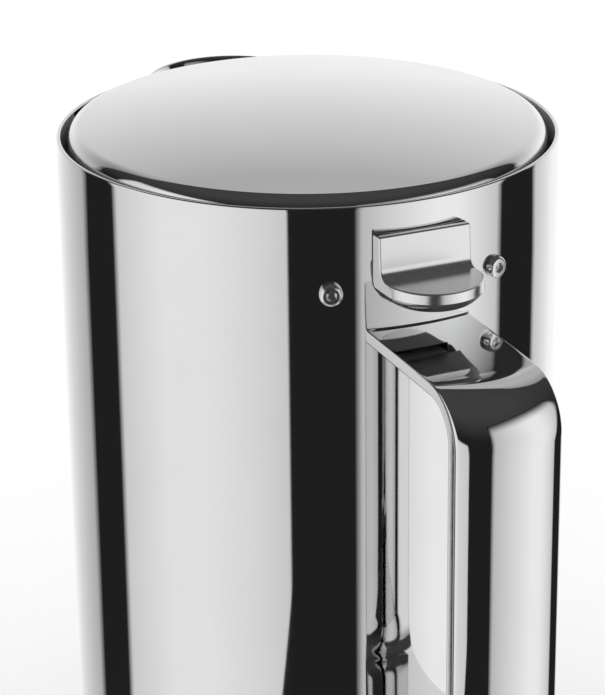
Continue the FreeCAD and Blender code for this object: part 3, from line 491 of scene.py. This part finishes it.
# ---------------------------------------------------------------- domed lid
def lid_mesh():
    """Domed disc that rolls over into a short skirt, a sheet of even thickness."""
    edge_radius = LID_RADIUS - LID_ROLL_WIDE
    edge_top = LID_TOP - LID_CROWN
    ball = (edge_radius ** 2 + LID_CROWN ** 2) / (2 * LID_CROWN)
    lean = math.asin(edge_radius / ball)

    def dome(inset, steps):
        """Flat round from the middle of the lid to its rolled edge."""
        centre = (0.0, LID_TOP - ball)
        return arc(centre, ball - inset, 90.0, 90.0 - math.degrees(lean), steps)

    def roll(inset, steps):
        """Elliptic round that leaves the dome at its own slope and ends upright."""
        wide, tall = LID_ROLL_WIDE - inset, LID_ROLL_TALL - inset
        start = math.atan2(tall, wide * math.tan(lean))
        foot = edge_top - LID_ROLL_TALL * math.sin(start)
        shift = LID_ROLL_WIDE * math.cos(start)
        made = []
        for k in range(steps + 1):
            a = start * (1 - k / steps)
            across = (wide * math.cos(a) - shift) * LID_ROLL_WIDE / (LID_ROLL_WIDE - shift)
            made.append((edge_radius + across, foot + tall * math.sin(a)))
        return made

    outline = [(0.0, LID_TOP)] + dome(0.0, DOME_STEPS)[1:]
    outline += roll(0.0, ROLL_STEPS)[1:]
    shoulder = outline[-1][1]
    outline += [(LID_RADIUS, shoulder + (LID_SKIRT - shoulder) * k / 6) for k in range(1, 6)]
    outline += arc((LID_RADIUS - LID_HEM, LID_SKIRT + LID_HEM), LID_HEM, 0.0, -90.0, 4)
    outline += [(LID_RADIUS - LID_SHEET, LID_SKIRT), (LID_RADIUS - LID_SHEET, shoulder)]
    outline += roll(LID_SHEET, ROLL_STEPS // 2)[-2:0:-1]
    outline += dome(LID_SHEET, DOME_STEPS // 2)[:0:-1] + [(0.0, LID_TOP - LID_SHEET)]
    mesh = turned_mesh("domed_lid", outline, LID_SEGMENTS)
    for vertex in mesh.vertices:
        vertex.co.z -= LID_LEAN * vertex.co.x
    return mesh


stands_for(show("domed_lid", lid_mesh()), lid_polish, "lid", "lid_dome")


# ---------------------------------------------------------------- strap handle
def strap_section(tilt):
    """Section of the strap as (across, outward): flat at the arms, crowned along the grip."""
    share = max(math.sin(tilt) ** 2, LEAST_CROWN)
    half = STRAP_WIDTH / 2
    thick = ARM_THICK + share * (GRIP_THICK - ARM_THICK)
    edge = ARM_EDGE + share * (GRIP_EDGE - ARM_EDGE)
    inner = STRAP_INNER_EDGE
    crown = GRIP_CROWN / share
    shoulder = thick - edge
    lean = math.degrees(math.asin((half - edge) / (crown - edge)))
    rise = math.sqrt((crown - edge) ** 2 - (half - edge) ** 2)
    belly = GRIP_BELLY * (share - LEAST_CROWN)
    section = [((half - inner) * k / 8, -belly * (1 - (k / 8) ** 2)) for k in range(8)]
    section += arc((half - inner, inner), inner, -90.0, 0.0, 5)
    section += [(half, inner + (shoulder - inner) * k / 4) for k in range(1, 4)]
    section += arc((half - edge, shoulder), edge, 0.0, 90.0 - lean, 8)
    section += arc((0.0, shoulder - rise), crown, 90.0 - lean, 90.0, 22)[1:]
    return section + [(-y, n) for y, n in reversed(section[1:-1])]


def strap_mesh():
    """The strap swept from the wall, round both bends and back to the wall."""
    rows = []

    def station(tilt, bend_z):
        """One section, on the bend's round about a middle at this height."""
        x = BEND_X + BEND_RADIUS * math.sin(tilt)
        z = bend_z + BEND_RADIUS * math.cos(tilt)
        rows.append([Vector((x + n * math.sin(tilt), y, z + n * math.cos(tilt)))
                     for y, n in strap_section(tilt)])

    def arm(tilt, bend_z, fall, shares):
        """Sections of an arm at shares of its length, from the wall to the bend."""
        for share in shares:
            station(tilt, bend_z)
            for p, (_, n) in zip(rows[-1], strap_section(tilt)):
                wall = math.sqrt(STRAP_SEAM ** 2 - p.y ** 2)
                p.x = wall + (p.x - wall) * share
                p.z += fall * (1 - share)
                short = WELD_ROUND - max(p.x - wall, 0.0)
                if fall and n > WELD_LEVEL and short > 0.0:
                    p.z += WELD_ROUND - math.sqrt(max(WELD_ROUND ** 2 - short ** 2, 0.0))

    slope = math.atan(ARM_FALL / (BEND_X - SHELL_RADIUS))
    outward = [k / ARM_STEPS for k in range(1, ARM_STEPS)]
    arm(slope, TOP_BEND_Z, ARM_FALL, TOP_WELD_SHARES + outward)
    for k in range(BEND_STEPS + 1):
        station(slope + (math.pi / 2 - slope) * k / BEND_STEPS, TOP_BEND_Z)
    for k in range(1, GRIP_STEPS):
        station(math.pi / 2, TOP_BEND_Z + (LOW_BEND_Z - TOP_BEND_Z) * k / GRIP_STEPS)
    for k in range(BEND_STEPS + 1):
        station(math.pi / 2 * (1 + k / BEND_STEPS), LOW_BEND_Z)
    arm(math.pi, LOW_BEND_Z, 0.0, outward[::-1] + LOW_WELD_SHARES)
    points = [p for row in rows for p in row]
    around, last = len(rows[0]), len(points) - 1
    faces = [list(range(around)), list(range(last, last - around, -1))]
    for r in range(len(rows) - 1):
        for k in range(around):
            n = (k + 1) % around
            a, b = r * around, (r + 1) * around
            faces.append((a + k, b + k, b + n, a + n))
    mesh = sheet_mesh("strap_handle", points, faces, crease=50.0)
    work = bmesh.new()
    work.from_mesh(mesh)
    bmesh.ops.recalc_face_normals(work, faces=work.faces)
    work.to_mesh(mesh)
    work.free()
    return mesh


stands_for(show("strap_handle", strap_mesh()), strap_polish,
           "pot", "handle_strap")


# ---------------------------------------------------------------- thumb lever
def thumb_mesh():
    """Plate and shelf of the lever: a hollow round between them, the nose rounded below."""
    work = bmesh.new()
    spread = math.asin(THUMB_HALF / NOSE_ROUND)
    nose = []
    for k in range(NOSE_STEPS + 1):
        a = -spread + 2 * spread * k / NOSE_STEPS
        nose.append((SHELF_NOSE - NOSE_ROUND + NOSE_ROUND * math.cos(a), NOSE_ROUND * math.sin(a)))

    def seat(radius):
        """Line of the plate's back, hollow like the wall behind it."""
        across = [THUMB_HALF - 2 * THUMB_HALF * k / SEAT_STEPS for k in range(SEAT_STEPS + 1)]
        return [(math.sqrt(radius ** 2 - y ** 2), y) for y in across]

    def line(outline, z):
        """New points along an outline at one height."""
        return [work.verts.new((x, y, z)) for x, y in outline]

    nose_top, nose_low = line(nose, SHELF_TOP), line(nose, SHELF_LOW)
    seat_top = line(seat(THUMB_SEAT), THUMB_TOP)
    seat_turn = line(seat(THUMB_SEAT), LEVER_AXIS_Z)
    seat_low = line(seat(THUMB_SEAT + SHELF_RELIEF), SHELF_LOW)
    corner = (THUMB_FACE + THUMB_CORNER, SHELF_TOP + THUMB_CORNER)
    hollow = arc(corner, THUMB_CORNER, 180.0, 270.0, 16)
    front = [line([(x, -THUMB_HALF), (x, THUMB_HALF)], z)
             for x, z in [(THUMB_FACE - THUMB_LEAN, THUMB_TOP)] + hollow]
    made = work.faces.new
    made([front[-1][0]] + nose_top + [front[-1][1]])
    for upper, lower in zip(front, front[1:]):
        made([upper[0], lower[0], lower[1], upper[1]])
    made([front[0][0], front[0][1]] + seat_top)
    made(list(reversed(nose_low)) + list(reversed(seat_low)))
    for k in range(NOSE_STEPS):
        made([nose_low[k], nose_low[k + 1], nose_top[k + 1], nose_top[k]])
    for k in range(SEAT_STEPS):
        made([seat_low[k], seat_low[k + 1], seat_turn[k + 1], seat_turn[k]])
        made([seat_turn[k], seat_turn[k + 1], seat_top[k + 1], seat_top[k]])
    left, right = [p[0] for p in front], [p[1] for p in front]
    made([seat_turn[-1], seat_low[-1], nose_low[0], nose_top[0]] + left[::-1] + [seat_top[-1]])
    made([nose_low[-1], seat_low[0], seat_turn[0], seat_top[0]] + right + [nose_top[-1]])
    bmesh.ops.recalc_face_normals(work, faces=work.faces)

    def between(*chain):
        """Edges that join two points of a chain."""
        ends = set(chain)
        return [e for e in work.edges if set(e.verts) <= ends]

    def crosses(edge):
        """Whether an edge runs from the left side of the front to the right."""
        a, b = edge.verts
        return (a in left and b in right) or (b in left and a in right)

    underside = between(*nose_low, seat_low[0], seat_low[-1])
    underside = [e for e in underside if not set(e.verts) <= set(seat_low)]
    rim = between(*left, *nose_top) + between(*right, *nose_top)
    rim += between(*seat_top, left[0], right[0])
    rim = [e for e in dict.fromkeys(rim) if not crosses(e)] + between(left[0], right[0])
    rounds = ((rim, THUMB_EDGE, 0.5, 5), (underside, NOSE_UNDERSIDE, 0.34, 6))
    for edges, width, profile, steps in rounds:
        bmesh.ops.bevel(work, geom=[e for e in edges if e.is_valid], offset=width, segments=steps,
                        profile=profile, affect="EDGES", clamp_overlap=False)
    merge_doubles(work, 1e-6)
    work.normal_update()
    downward = [f for f in work.faces if f.normal.z < STRAIGHT_DOWN]
    flat = max(downward, key=lambda f: f.calc_area())
    bmesh.ops.bisect_plane(work, geom=[flat] + list(flat.verts) + list(flat.edges),
                           plane_co=(UNPOLISHED_END, 0.0, 0.0), plane_no=(1.0, 0.0, 0.0))
    # painted shade: downward faces under the shelf get the dark plastic, all but the outer flat
    # and the left-facing rounds, which stay polished
    for face in work.faces:
        if face.normal.z < DOWNWARD:
            outer = face.calc_center_median().x > UNPOLISHED_END
            polished = (face.normal.z < STRAIGHT_DOWN and outer) or face.normal.y < LEFTWARD
            face.material_index = 0 if polished else 1
    mesh = bpy.data.meshes.new("thumb_press")
    work.to_mesh(mesh)
    work.free()
    mesh.shade_smooth()
    mesh.set_sharp_from_angle(angle=math.radians(24.0))
    return mesh


thumb_press = show("thumb_press", thumb_mesh())
even_shading(thumb_press)
stands_for(thumb_press, lever_polish, "lever", "thumb_lever", lever_underside)


def lever_arm_mesh():
    """Neck, boss and inner arm of the lever: the CAD's own shape inside the wall."""
    mesh = smooth_copy("thumb_lever", "lever_arm")
    work = bmesh.new()
    work.from_mesh(mesh)
    whole = list(work.verts) + list(work.edges) + list(work.faces)
    cut = bmesh.ops.bisect_plane(work, geom=whole, plane_co=(ARM_COPY_END, 0, 0),
                                 plane_no=(1, 0, 0), clear_outer=True)
    rim = [e for e in cut["geom_cut"] if isinstance(e, bmesh.types.BMEdge)]
    bmesh.ops.holes_fill(work, edges=rim, sides=0)
    work.to_mesh(mesh)
    work.free()
    return mesh


lever_arm = show("lever_arm", lever_arm_mesh())
# painted shade: the arm inside the wall also gets the dark plastic
stands_for(lever_arm, lever_underside, "lever", "thumb_lever")


# ---------------------------------------------------------------- screws beside the lever
def button_screw_mesh():
    """One button-head screw along +X with its head's seat at the origin."""
    points, faces = [], []

    def ring(up, reach):
        """Points round the screw at one height; gives the number of the first."""
        for k in range(SCREW_COLUMNS):
            a = 2 * math.pi * k / SCREW_COLUMNS
            away = reach(a)
            points.append((up, away * math.cos(a), away * math.sin(a)))
        return len(points) - SCREW_COLUMNS

    def turned(*outline):
        """Round rings through an outline of (height, radius)."""
        return [ring(up, lambda a, away=away: away) for up, away in outline]

    def hexagon(up, corner):
        """Ring in the form of the key."""
        def reach(a):
            side = (a + math.pi / 6) % (math.pi / 3) - math.pi / 6
            return corner * math.cos(math.pi / 6) / math.cos(side)
        return ring(up, reach)

    def join(rings):
        """Faces from each ring to the next."""
        for low, high in zip(rings, rings[1:]):
            for k in range(SCREW_COLUMNS):
                n = (k + 1) % SCREW_COLUMNS
                faces.append((low + k, low + n, high + n, high + k))

    head = [(0.0, SCREW_HEAD), (0.5 * SCREW_SIDE, SCREW_HEAD)]
    for k in range(HEAD_STEPS + 1):
        a = math.pi / 2 * k / HEAD_STEPS
        across = SCREW_FACE + (SCREW_HEAD - SCREW_FACE) * math.cos(a)
        head.append((SCREW_SIDE + (SCREW_RISE - SCREW_SIDE) * math.sin(a), across))
    dome = turned(*head)
    corner, floor = SOCKET_ACROSS / math.sqrt(3), SCREW_RISE - SOCKET_DEPTH
    socket = [hexagon(SCREW_RISE, corner * SOCKET_MOUTH),
              hexagon(SCREW_RISE - SOCKET_LEAD, corner),
              hexagon(floor, corner * SOCKET_TAPER)]
    shank = turned((-SCREW_LENGTH, SCREW_TIP), (SCREW_POINT - SCREW_LENGTH, SCREW_SHANK),
                   (0.0, SCREW_SHANK))
    join(shank + dome + socket)
    faces.append([shank[0] + k for k in reversed(range(SCREW_COLUMNS))])
    points.append((floor - SOCKET_CONE, 0.0, 0.0))
    for k in range(SCREW_COLUMNS):
        n = (k + 1) % SCREW_COLUMNS
        faces.append((socket[-1] + k, socket[-1] + n, len(points) - 1))
    return sheet_mesh("button_screw", points, faces, crease=32.0)


def pair_tree():
    """Geometry Nodes: the same piece to the left and to the right of the handle's plane."""
    tree = bpy.data.node_groups.new("pair_round_the_wall", "GeometryNodeTree")
    for word, kind in (("Piece", "Geometry"), ("Distance from axis", "Float"),
                       ("Turn to each side", "Float"), ("Height", "Float"),
                       ("Finish", "Material")):
        tree.interface.new_socket(word, in_out="INPUT", socket_type="NodeSocket" + kind)
    tree.interface.new_socket("Pair", in_out="OUTPUT", socket_type="NodeSocketGeometry")
    make, link = tree.nodes.new, tree.links.new
    given, out = make("NodeGroupInput"), make("NodeGroupOutput")

    def maths(operation, *values):
        """A sum on sockets and plain numbers."""
        made = make("ShaderNodeMath")
        made.operation = operation
        for socket, value in zip(made.inputs, values):
            if isinstance(value, float):
                socket.default_value = value
            else:
                link(value, socket)
        return made.outputs[0]

    side = maths("MULTIPLY_ADD", make("GeometryNodeInputIndex").outputs[0], 2.0, -1.0)
    turn = maths("MULTIPLY", side, given.outputs["Turn to each side"])
    place = make("ShaderNodeCombineXYZ")
    for wave, axis in (("COSINE", "X"), ("SINE", "Y")):
        reach = maths("MULTIPLY", maths(wave, turn), given.outputs["Distance from axis"])
        link(reach, place.inputs[axis])
    link(given.outputs["Height"], place.inputs["Z"])
    points = make("GeometryNodePoints")
    points.inputs["Count"].default_value = 2
    link(place.outputs[0], points.inputs["Position"])
    facing = make("ShaderNodeCombineXYZ")
    link(turn, facing.inputs["Z"])
    copies = make("GeometryNodeInstanceOnPoints")
    link(points.outputs[0], copies.inputs["Points"])
    link(given.outputs["Piece"], copies.inputs["Instance"])
    link(facing.outputs[0], copies.inputs["Rotation"])
    real = make("GeometryNodeRealizeInstances")
    link(copies.outputs[0], real.inputs[0])
    finish = make("GeometryNodeSetMaterial")
    link(real.outputs[0], finish.inputs["Geometry"])
    link(given.outputs["Finish"], finish.inputs["Material"])
    link(finish.outputs[0], out.inputs[0])
    return tree


def nodes_piece(name, mesh, tree, values):
    """Run a Geometry Nodes tree on a mesh with its named inputs, as a plain mesh."""
    piece = show(name, mesh)
    sockets = {s.name: s.identifier for s in tree.interface.items_tree if s.in_out == "INPUT"}
    modifier = piece.modifiers.new(name, "NODES")
    modifier.node_group = tree
    for word, value in values.items():
        modifier[sockets[word]] = value
    settle(piece)
    return piece


wall_screws = nodes_piece("wall_screws", button_screw_mesh(), pair_tree(), {
    "Distance from axis": SCREW_SEAT,
    "Turn to each side": SCREW_TURN,
    "Height": SCREW_HEIGHT,
    "Finish": screw_polish,
})
stands_for(wall_screws, screw_polish, "pot", "bracket_screws")


# ---------------------------------------------------------------- pieces inside
# Seen through the open lid, through the slot or from below.
INSIDE = [
    ("funnel_collar", "collar_funnel", "pot", "dark_plastic", dark_plastic),
    ("hinge_bracket", "bracket_plate", "pot", "inner_steel", drawn_steel),
    ("flask_inner", "flask_cup", "pot", "inner_steel", drawn_steel),
    ("base_cover", "cover_underneath", "pot", "dark_plastic", dark_plastic),
    ("foot_pad", "foot_ring_pad", "pot", "rubber", black_rubber),
    ("lid_pan", "pan_under_lid", "lid", "dark_plastic", dark_plastic),
    ("lid_plug", "stopper_cup", "lid", "dark_plastic", dark_plastic),
    ("plug_gasket", "stopper_gasket", "lid", "rubber", black_rubber),
    ("plug_screw", "stopper_screw", "lid", "inner_steel", turned_steel),
    ("lid_lug", "hinge_lug", "lid", "inner_steel", drawn_steel),
    ("lug_screws", "hinge_lug_screws", "lid", "inner_steel", turned_steel),
]
for node, name, body, slot, finish in INSIDE:
    stands_for(show(name, smooth_copy(node, name)), finish, body, node)

# Closed in on all sides; the frame's own solids with a finish.
HIDDEN = {
    "bracket_nuts": turned_steel, "hinge_pin": turned_steel, "hinge_clips": drawn_steel,
    "lever_pin": turned_steel, "lever_clips": drawn_steel, "lever_washers": dark_plastic,
    "flask_outer": drawn_steel, "flask_gasket": black_rubber, "flask_cushion": black_rubber,
    "lid_foam": cream_foam, "lift_pin": turned_steel,
}
for node, finish in HIDDEN.items():
    nodes[node].data.materials.clear()
    nodes[node].data.materials.append(finish)


# ---------------------------------------------------------------- studio
def studio_world():
    """White surroundings for the eye and for matt pieces; polished steel sees a dark room
    with the panels in it and a pale table below."""
    world = bpy.data.worlds.new("studio")
    bpy.context.scene.world = world
    world.use_nodes = True
    tree = world.node_tree
    tree.nodes.clear()
    make, link = tree.nodes.new, tree.links.new
    where = make("ShaderNodeTexCoord")
    split = make("ShaderNodeSeparateXYZ")
    link(where.outputs["Generated"], split.inputs[0])

    def upward_fade(start, end, low, high, kind="LINEAR"):
        """Brightness that changes with the height of a direction."""
        made = make("ShaderNodeMapRange")
        made.interpolation_type = kind
        for word, value in (("From Min", start), ("From Max", end),
                            ("To Min", low), ("To Max", high)):
            made.inputs[word].default_value = value
        link(split.outputs["Z"], made.inputs["Value"])
        return made.outputs["Result"]

    horizon = [math.sin(math.radians(a)) for a in TABLE_FADE]
    surroundings = make("ShaderNodeMath")
    link(upward_fade(*horizon, TABLE_LEVEL, ROOM_LEVEL, "SMOOTHSTEP"), surroundings.inputs[0])
    link(upward_fade(*CEILING_FADE, 0.0, CEILING_LEVEL - ROOM_LEVEL), surroundings.inputs[1])
    path = make("ShaderNodeLightPath")
    level = make("ShaderNodeMix")
    level.inputs["A"].default_value = 1.0
    link(path.outputs["Is Glossy Ray"], level.inputs["Factor"])
    link(surroundings.outputs[0], level.inputs["B"])
    backdrop = make("ShaderNodeBackground")
    backdrop.inputs["Color"].default_value = (1.0, 1.0, 1.0, 1.0)
    link(level.outputs["Result"], backdrop.inputs["Strength"])
    out = make("ShaderNodeOutputWorld")
    link(backdrop.outputs[0], out.inputs["Surface"])


def soft_panel(name, plan, low, high, across, upward, top_plan=None):
    """A standing diffuser that only polished steel sees, graded across and upward.

    Plan and heights are in millimetres; a pair of heights makes a sloping upper edge, and
    a plan for the top a panel that leans.
    """
    mesh = bpy.data.meshes.new(name)
    first, last = high if isinstance(high, tuple) else (high, high)
    tops = [first + (last - first) * k / (len(plan) - 1) for k in range(len(plan))]
    points = [(x * MM, y * MM, z * MM) for foot, head, top in zip(plan, top_plan or plan, tops)
              for (x, y), z in ((foot, low), (head, top))]
    faces = [(2 * k, 2 * k + 2, 2 * k + 3, 2 * k + 1) for k in range(len(plan) - 1)]
    mesh.from_pydata(points, [], faces)
    cloth_map = mesh.uv_layers.new(name="panel")
    for loop, place in zip(mesh.loops, cloth_map.data):
        place.uv = (loop.vertex_index // 2 / (len(plan) - 1), loop.vertex_index % 2)
    cloth = Finish(name + "_cloth")
    cloth.material.cycles.emission_sampling = "NONE"
    cloth.shader.inputs["Base Color"].default_value = (0.0, 0.0, 0.0, 1.0)
    cloth.shader.inputs["Specular IOR Level"].default_value = 0.0
    cloth.shader.inputs["Emission Strength"].default_value = 1.0
    split = cloth.node("SeparateXYZ")
    cloth.join(cloth.node("UVMap", uv_map="panel").outputs["UV"], split.inputs[0])
    level = cloth.node("VectorMath", operation="MULTIPLY")
    for axis, stops, socket in (("X", across, 0), ("Y", upward, 1)):
        greys = [(place, (grey, grey, grey)) for place, grey in stops]
        cloth.join(cloth.shades(split.outputs[axis], *greys), level.inputs[socket])
    cloth.join(level.outputs[0], cloth.shader.inputs["Emission Color"])
    mesh.materials.append(cloth.material)
    panel = show(name, mesh)
    for ray in ("camera", "diffuse", "transmission", "volume_scatter", "shadow"):
        setattr(panel, "visible_" + ray, False)


def round_plan(radius, start, end):
    """Plan of a panel bent round the pot between two bearings."""
    return arc((0.0, 0.0), radius, start, end, 36)


def straight_plan(start, end):
    """Plan of a flat panel between two corners."""
    return [(start[0] + (end[0] - start[0]) * k / 24, start[1] + (end[1] - start[1]) * k / 24)
            for k in range(25)]


def studio_panels():
    """Diffusers round the pot: right of the camera, left of it, behind the pot and over it."""
    soft_panel("right_panel", [(270, -32), (115, 217)], -300, 305,
               [(0.0, 0.0), (0.06, 0.60), (0.5, 1.03), (0.62, 1.03), (0.94, 0.68), (1.0, 0.0)],
               [(0.0, 1.0), (0.889, 1.0), (0.917, 0.75), (0.939, 0.5), (0.965, 0.22), (1.0, 0.0)])
    soft_panel("left_panel", straight_plan((-300, -516), (900, -590)), -400, (640, 140),
               [(0.0, 0.0), (0.035, 0.74), (0.25, 0.95), (0.40, 0.95), (0.965, 0.72), (1.0, 0.0)],
               [(0.0, 1.0), (0.90, 1.0), (1.0, 0.0)])
    ends = [(0.0, 0.0), (0.03, 0.7), (0.2, 1.05), (0.5, 1.0), (0.7, 0.95), (0.96, 0.52),
            (1.0, 0.0)]
    low_plan, wide_plan, high_plan = (round_plan(REAR_DISTANCE, start, end) for start, end in
                                      ((92.7, 221.0), (82.0, 229.0), (122.0, 202.0)))
    soft_panel("rear_sweep", low_plan, -600, 10, ends, [(0.0, 1.0), (1.0, 1.0)])
    soft_panel("rear_middle", low_plan, 10, 300, ends,
               [(0.0, 1.0), (0.862, 1.0), (1.0, 0.934)], wide_plan)
    soft_panel("rear_overhead", wide_plan, 300, 830, ends,
               [(0.0, 0.934), (0.506, 0.49), (0.83, 0.53), (0.94, 0.45), (1.0, 0.04)], high_plan)


def studio_floor():
    """Plain pale floor that keeps a soft shadow; the steel mirrors the panels past it."""
    mesh = bpy.data.meshes.new("floor")
    corners = [(-1, -1), (1, -1), (1, 1), (-1, 1)]
    mesh.from_pydata([(x * FLOOR_HALF, y * FLOOR_HALF, 0) for x, y in corners], [], [(0, 1, 2, 3)])
    floor = show("floor", mesh)
    pale = Finish("pale_floor")
    pale.shader.inputs["Roughness"].default_value = 0.9
    pale.shader.inputs["Specular IOR Level"].default_value = 0.0
    cloud = pale.noise(pale.place((1.0, 1.0, 1.0)), 4.0)
    pale.colour(pale.shades(cloud, (0.3, (0.955, 0.955, 0.955)), (0.7, (0.965, 0.965, 0.965))))
    glow = pale.node("LightPath").outputs["Is Camera Ray"]
    pale.shader.inputs["Emission Color"].default_value = (1.0, 1.0, 1.0, 1.0)
    lift = pale.node("Math", operation="MULTIPLY")
    lift.inputs[1].default_value = FLOOR_LIFT
    pale.join(glow, lift.inputs[0])
    pale.join(lift.outputs[0], pale.shader.inputs["Emission Strength"])
    mesh.materials.append(pale.material)
    floor.visible_glossy = False


def studio_camera():
    """The photograph's viewpoint, found from the rim's ellipse and the wall's side edges."""
    lens = bpy.data.cameras.new("camera")
    lens.sensor_width = 36.0
    lens.lens = 148.05
    camera = bpy.data.objects.new("camera", lens)
    bpy.context.scene.collection.objects.link(camera)
    right = Vector((0.41753, 0.90861, -0.01034))
    up = Vector((-0.33243, 0.16333, 0.92888))
    back = Vector((0.84567, -0.38439, 0.37025))
    turn = Matrix((right, up, back)).transposed().to_4x4()
    place = Matrix.Translation((0.63579, -0.29109, 0.41817))
    camera.matrix_world = place @ turn
    bpy.context.scene.camera = camera


studio_world()
studio_panels()
studio_floor()
studio_camera()
bpy.context.scene.view_settings.view_transform = "Standard"
